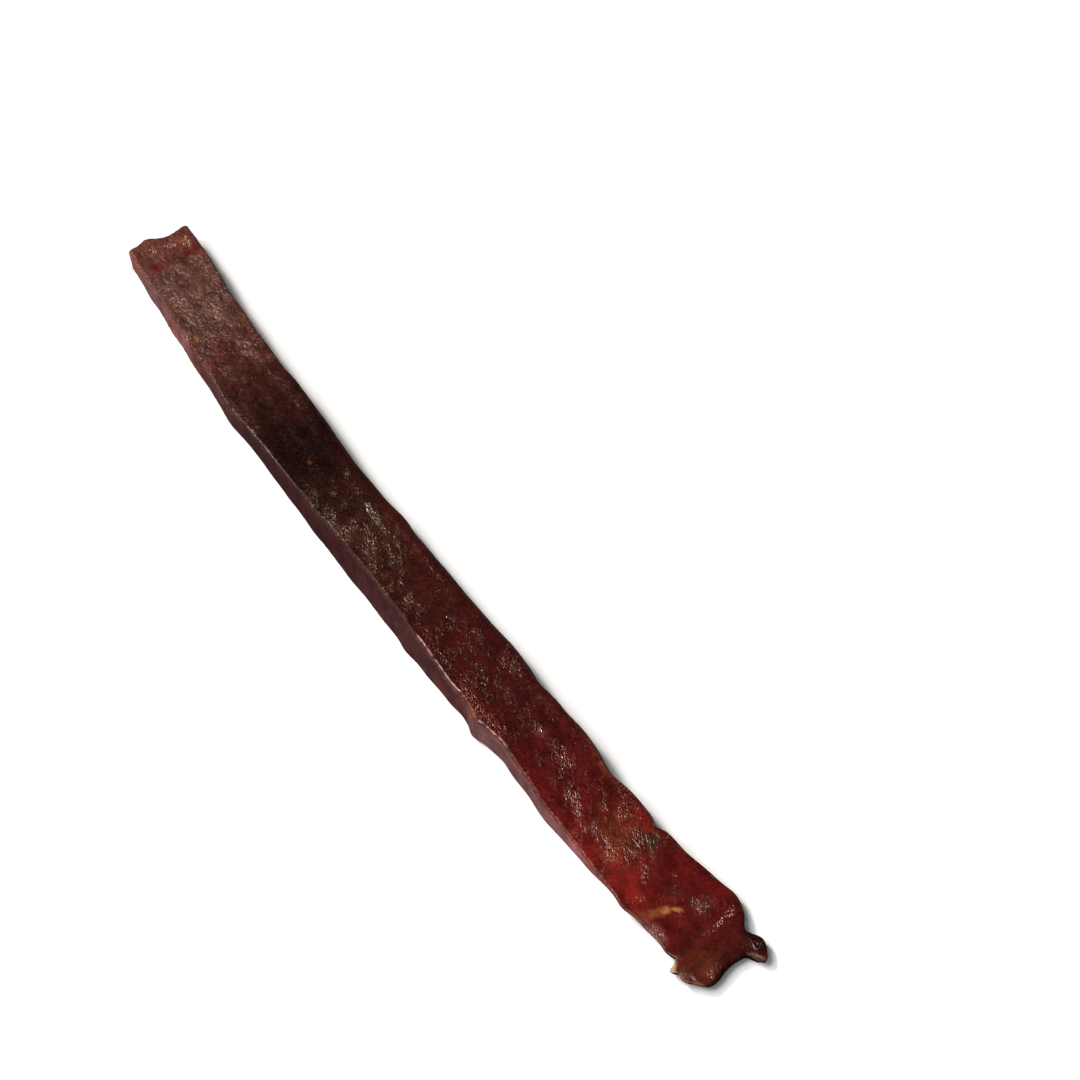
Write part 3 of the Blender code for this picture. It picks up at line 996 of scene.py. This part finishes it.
def build_floor():
    """A wide round pale floor just under the strip."""
    rim = [
        Vector((math.cos(turn), math.sin(turn), 0)) * FLOOR_RADIUS - Vector((0, 0, FLOOR_DROP))
        for turn in even_steps(0, math.tau, FLOOR_SIDES)[:-1]
    ]
    data = bpy.data.meshes.new("floor")
    data.from_pydata(rim, [], [tuple(range(FLOOR_SIDES))])
    material = bpy.data.materials.new("pale_floor")
    material.use_nodes = True
    shader = material.node_tree.nodes["Principled BSDF"].inputs
    shader["Base Color"].default_value = FLOOR_COLOUR
    shader["Roughness"].default_value = FLOOR_ROUGHNESS
    shader["Specular IOR Level"].default_value = FLOOR_SHINE
    data.materials.append(material)
    floor = bpy.data.objects.new("floor", data)
    floor.visible_glossy = False
    bpy.context.scene.collection.objects.link(floor)
    return floor


def add_lights():
    """The soft far lights, turned so that each shines from its own direction."""
    right = Vector((-math.sin(CAMERA_BEARING), math.cos(CAMERA_BEARING), 0))
    away = Vector((-math.cos(CAMERA_BEARING), -math.sin(CAMERA_BEARING), 0))
    up = Vector((0, 0, 1))
    for sun in SUNS:
        data = bpy.data.lights.new(sun.name, "SUN")
        data.energy = sun.strength
        data.angle = math.radians(sun.width)
        data.color = sun.colour
        light = bpy.data.objects.new(sun.name, data)
        towards = sun.right * right + sun.away * away + sun.up * up
        light.rotation_mode = "QUATERNION"
        light.rotation_quaternion = towards.to_track_quat("Z", "Y")
        bpy.context.scene.collection.objects.link(light)


def add_world():
    """A dim room above, and below it the pale glow that the strip's sides reflect."""
    world = bpy.data.worlds.new("soft_room")
    world.use_nodes = True
    tree = world.node_tree
    direction = tree.nodes.new("ShaderNodeTexCoord").outputs["Generated"]
    height = tree.nodes.new("ShaderNodeSeparateXYZ")
    tree.links.new(direction, height.inputs["Vector"])
    glow = tree.nodes.new("ShaderNodeMapRange")
    tree.links.new(height.outputs["Z"], glow.inputs["Value"])
    glow.inputs["From Min"].default_value = GLOW_LOW
    glow.inputs["From Max"].default_value = GLOW_HIGH
    glow.inputs["To Min"].default_value = GLOW_BELOW
    glow.inputs["To Max"].default_value = GLOW_ABOVE
    background = tree.nodes["Background"].inputs
    background["Color"].default_value = (1.0, 1.0, 1.0, 1.0)
    tree.links.new(glow.outputs["Result"], background["Strength"])
    bpy.context.scene.world = world


def add_camera():
    """The camera at its place, turned towards the point that it looks at."""
    data = bpy.data.cameras.new("camera")
    data.sensor_width = SENSOR
    data.lens = LENS
    camera = bpy.data.objects.new("camera", data)
    towards = Vector((
        math.cos(CAMERA_ELEVATION) * math.cos(CAMERA_BEARING),
        math.cos(CAMERA_ELEVATION) * math.sin(CAMERA_BEARING),
        math.sin(CAMERA_ELEVATION),
    ))
    camera.location = AIM + CAMERA_DISTANCE * towards
    camera.rotation_mode = "QUATERNION"
    camera.rotation_quaternion = towards.to_track_quat("Z", "Y")
    bpy.context.scene.collection.objects.link(camera)
    bpy.context.scene.camera = camera


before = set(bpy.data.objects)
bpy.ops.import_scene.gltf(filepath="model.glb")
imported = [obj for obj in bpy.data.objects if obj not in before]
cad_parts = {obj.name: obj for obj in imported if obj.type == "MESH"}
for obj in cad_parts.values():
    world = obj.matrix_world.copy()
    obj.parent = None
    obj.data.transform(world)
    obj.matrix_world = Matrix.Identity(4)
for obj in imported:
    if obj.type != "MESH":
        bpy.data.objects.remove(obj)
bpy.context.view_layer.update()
strip = build_strip(*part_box("duck_jerky_strip"))
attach(strip, "root")
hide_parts("duck_jerky_strip")
build_floor()
add_lights()
add_world()
add_camera()
bpy.context.scene.view_settings.view_transform = "Standard"
